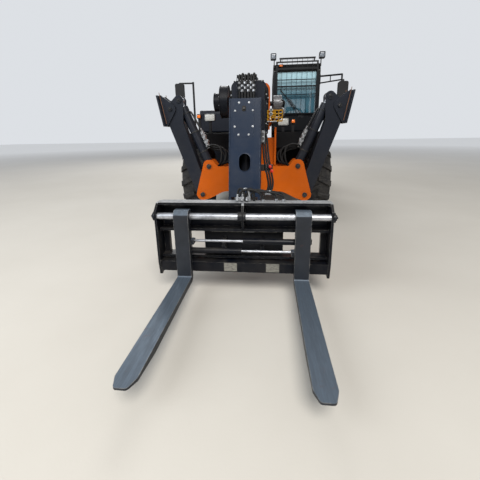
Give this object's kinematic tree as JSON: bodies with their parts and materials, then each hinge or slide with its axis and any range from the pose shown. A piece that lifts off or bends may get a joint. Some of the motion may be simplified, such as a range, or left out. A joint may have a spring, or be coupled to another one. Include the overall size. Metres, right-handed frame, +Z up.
{
  "type": "telehandler with front stabilizers",
  "caption": "Telescopic handler with a three-section boom, pallet forks on a tilting carriage, raised stabilizer legs, a side cab and a side engine pod.",
  "frame": {"origin": "middle of the machine's length and width, on the ground its tyres stand on", "axes": "-Y is forward, the forks' side; +X is the machine's left, the cab's side; +Z is up"},
  "size_m": [3, 8.351, 2.705],
  "materials": {
    "chassis_orange": "satin",
    "anthracite": "satin",
    "slate": "satin",
    "fork_steel": "worn",
    "bright_rod": "polished",
    "black_plastic": "matte",
    "cab_black": "satin",
    "glass_tint": "clear",
    "seat_fabric": "woven",
    "tyre_rubber": "matte",
    "rim_paint": "satin",
    "iron_grey": "rough",
    "lamp_shell": "glossy",
    "reel_grey": "satin"
  },
  "bodies": {
    "chassis": {"frame_left": "chassis_orange", "frame_right": "chassis_orange", "frame_cross": "chassis_orange", "front_bracket": "chassis_orange", "counterweight": "anthracite", "engine_block": "iron_grey", "engine_bay": "cab_black", "tanks": "black_plastic", "steps": "cab_black", "front_axle": "iron_grey", "rear_axle": "iron_grey", "front_fenders": "black_plastic", "rear_fenders": "black_plastic", "lamps": "lamp_shell", "mirrors": "black_plastic", "cab_frame": "cab_black", "cab_roof": "cab_black", "cab_guard": "cab_black", "cab_glass": "glass_tint", "seat": "seat_fabric", "dashboard": "black_plastic"},
    "engine_hood": {"engine_hood": "chassis_orange"},
    "cab_door": {"cab_door": "cab_black", "door_glass": "glass_tint"},
    "boom_outer": {"boom_outer": "chassis_orange", "hose_reels": "reel_grey"},
    "boom_mid": {"boom_mid": "anthracite"},
    "boom_inner": {"boom_inner": "anthracite", "boom_head": "slate"},
    "lift_barrel": {"lift_barrel": "anthracite"},
    "lift_rod": {"lift_rod": "bright_rod"},
    "tilt_barrel": {"tilt_barrel": "anthracite"},
    "tilt_rod": {"tilt_rod": "bright_rod"},
    "carriage": {"carriage_frame": "anthracite", "fork_shaft": "bright_rod"},
    "fork_left": {"fork_left": "fork_steel", "positioner_rod_left": "bright_rod"},
    "leg_left": {"leg_left": "anthracite"},
    "foot_left": {"foot_left": "anthracite"},
    "leg_barrel_left": {"leg_barrel_left": "anthracite"},
    "leg_rod_left": {"leg_rod_left": "bright_rod"},
    "knuckle_front_left": {"knuckle_front_left": "iron_grey"},
    "wheel_front_left": {"rim_front_left": "rim_paint", "tyre_front_left": "tyre_rubber"},
    "knuckle_rear_left": {"knuckle_rear_left": "iron_grey"},
    "wheel_rear_left": {"rim_rear_left": "rim_paint", "tyre_rear_left": "tyre_rubber"},
    "fork_right": {"fork_right": "fork_steel", "positioner_rod_right": "bright_rod"},
    "leg_right": {"leg_right": "anthracite"},
    "foot_right": {"foot_right": "anthracite"},
    "leg_barrel_right": {"leg_barrel_right": "anthracite"},
    "leg_rod_right": {"leg_rod_right": "bright_rod"},
    "knuckle_front_right": {"knuckle_front_right": "iron_grey"},
    "wheel_front_right": {"rim_front_right": "rim_paint", "tyre_front_right": "tyre_rubber"},
    "knuckle_rear_right": {"knuckle_rear_right": "iron_grey"},
    "wheel_rear_right": {"rim_rear_right": "rim_paint", "tyre_rear_right": "tyre_rubber"}
  },
  "joints": [
    {"name": "boom_lift", "type": "hinge", "parent": "chassis", "child": "boom_outer", "pos_m": [0, 3.4055, 1.7], "axis": [-1, 0, 0], "range_deg": [0, 65]},
    {"name": "boom_extend", "type": "slide", "parent": "boom_outer", "child": "boom_mid", "axis": [0, -1, 0], "range_m": [0, 3.9]},
    {"name": "boom_extend_tip", "type": "slide", "parent": "boom_mid", "child": "boom_inner", "axis": [0, -1, 0], "range_m": [0, 3.9]},
    {"name": "carriage_tilt", "type": "hinge", "parent": "boom_inner", "child": "carriage", "pos_m": [0, -2.6845, 0.36], "axis": [1, 0, 0], "range_deg": [-12, 95]},
    {"name": "lift_barrel_pivot", "type": "hinge", "parent": "chassis", "child": "lift_barrel", "pos_m": [0, 2.7055, 0.72], "axis": [-1, 0, 0], "range_deg": [-1, 60]},
    {"name": "lift_rod_slide", "type": "slide", "parent": "lift_barrel", "child": "lift_rod", "axis": [0, -0.9434, 0.3316], "range_m": [0, 1.28]},
    {"name": "tilt_barrel_pivot", "type": "hinge", "parent": "boom_inner", "child": "tilt_barrel", "pos_m": [0, -2.3745, 1.48], "axis": [-1, 0, 0], "range_deg": [-1.5, 8]},
    {"name": "tilt_rod_slide", "type": "slide", "parent": "tilt_barrel", "child": "tilt_rod", "axis": [0, -0.0835, -0.9965], "range_m": [-0.36, 0.06]},
    {"name": "cab_door_hinge", "type": "hinge", "parent": "chassis", "child": "cab_door", "pos_m": [1.114, 1.7195, 1.5], "axis": [0, 0, 1], "range_deg": [0, 95]},
    {"name": "engine_hood_hinge", "type": "hinge", "parent": "chassis", "child": "engine_hood", "pos_m": [-0.345, 1.3555, 1.85], "axis": [0, 1, 0], "range_deg": [0, 60]},
    {"name": "fork_left_slide", "type": "slide", "parent": "carriage", "child": "fork_left", "axis": [1, 0, 0], "range_m": [-0.27, 0.14]},
    {"name": "leg_left_lower", "type": "hinge", "parent": "chassis", "child": "leg_left", "pos_m": [0.734, -1.0705, 0.549], "axis": [0, 1, 0], "range_deg": [0, 90]},
    {"name": "foot_left_swivel", "type": "hinge", "parent": "leg_left", "child": "foot_left", "pos_m": [1.136, -1.0705, 1.739], "axis": [0, 1, 0], "range_deg": [-15, 11]},
    {"name": "leg_barrel_left_pivot", "type": "hinge", "parent": "chassis", "child": "leg_barrel_left", "pos_m": [0.626, -1.0705, 0.956], "axis": [0, 1, 0], "range_deg": [-1, 94]},
    {"name": "leg_rod_left_slide", "type": "slide", "parent": "leg_barrel_left", "child": "leg_rod_left", "axis": [0.3971, 0, 0.9178], "range_m": [0, 0.6]},
    {"name": "steer_front_left", "type": "hinge", "parent": "chassis", "child": "knuckle_front_left", "pos_m": [0.8, -0.0445, 0.64881], "axis": [0, 0, 1], "range_deg": [-35, 35]},
    {"name": "spin_front_left", "type": "hinge", "parent": "knuckle_front_left", "child": "wheel_front_left", "pos_m": [1.013, -0.0445, 0.64881], "axis": [1, 0, 0], "continuous": true},
    {"name": "steer_rear_left", "type": "hinge", "parent": "chassis", "child": "knuckle_rear_left", "pos_m": [0.8, 3.0555, 0.64881], "axis": [0, 0, 1], "range_deg": [-35, 35]},
    {"name": "spin_rear_left", "type": "hinge", "parent": "knuckle_rear_left", "child": "wheel_rear_left", "pos_m": [1.013, 3.0555, 0.64881], "axis": [1, 0, 0], "continuous": true},
    {"name": "fork_right_slide", "type": "slide", "parent": "carriage", "child": "fork_right", "axis": [-1, 0, 0], "range_m": [-0.27, 0.14]},
    {"name": "leg_right_lower", "type": "hinge", "parent": "chassis", "child": "leg_right", "pos_m": [-0.734, -1.0705, 0.549], "axis": [0, -1, 0], "range_deg": [0, 90]},
    {"name": "foot_right_swivel", "type": "hinge", "parent": "leg_right", "child": "foot_right", "pos_m": [-1.136, -1.0705, 1.739], "axis": [0, -1, 0], "range_deg": [-15, 11]},
    {"name": "leg_barrel_right_pivot", "type": "hinge", "parent": "chassis", "child": "leg_barrel_right", "pos_m": [-0.626, -1.0705, 0.956], "axis": [0, -1, 0], "range_deg": [-1, 94]},
    {"name": "leg_rod_right_slide", "type": "slide", "parent": "leg_barrel_right", "child": "leg_rod_right", "axis": [-0.3971, 0, 0.9178], "range_m": [0, 0.6]},
    {"name": "steer_front_right", "type": "hinge", "parent": "chassis", "child": "knuckle_front_right", "pos_m": [-0.8, -0.0445, 0.64881], "axis": [0, 0, 1], "range_deg": [-35, 35]},
    {"name": "spin_front_right", "type": "hinge", "parent": "knuckle_front_right", "child": "wheel_front_right", "pos_m": [-1.013, -0.0445, 0.64881], "axis": [1, 0, 0], "continuous": true},
    {"name": "steer_rear_right", "type": "hinge", "parent": "chassis", "child": "knuckle_rear_right", "pos_m": [-0.8, 3.0555, 0.64881], "axis": [0, 0, 1], "range_deg": [-35, 35]},
    {"name": "spin_rear_right", "type": "hinge", "parent": "knuckle_rear_right", "child": "wheel_rear_right", "pos_m": [-1.013, 3.0555, 0.64881], "axis": [1, 0, 0], "continuous": true}
  ],
  "couplings": [
    {"joint": "boom_extend_tip", "follows": "boom_extend", "ratio": 1},
    {"joint": "lift_barrel_pivot", "follows": "boom_lift", "ratio": 0.8932},
    {"joint": "lift_rod_slide", "follows": "boom_lift", "m_per_rad": 1.1142},
    {"joint": "tilt_barrel_pivot", "follows": "carriage_tilt", "ratio": 0.0702},
    {"joint": "tilt_rod_slide", "follows": "carriage_tilt", "m_per_rad": -0.2092},
    {"joint": "leg_barrel_left_pivot", "follows": "leg_left_lower", "ratio": 1.0282},
    {"joint": "leg_rod_left_slide", "follows": "leg_left_lower", "m_per_rad": 0.3774},
    {"joint": "leg_barrel_right_pivot", "follows": "leg_right_lower", "ratio": 1.0282},
    {"joint": "leg_rod_right_slide", "follows": "leg_right_lower", "m_per_rad": 0.3774},
    {"joint": "steer_front_right", "follows": "steer_front_left", "ratio": 1},
    {"joint": "steer_rear_right", "follows": "steer_rear_left", "ratio": 1}
  ]
}
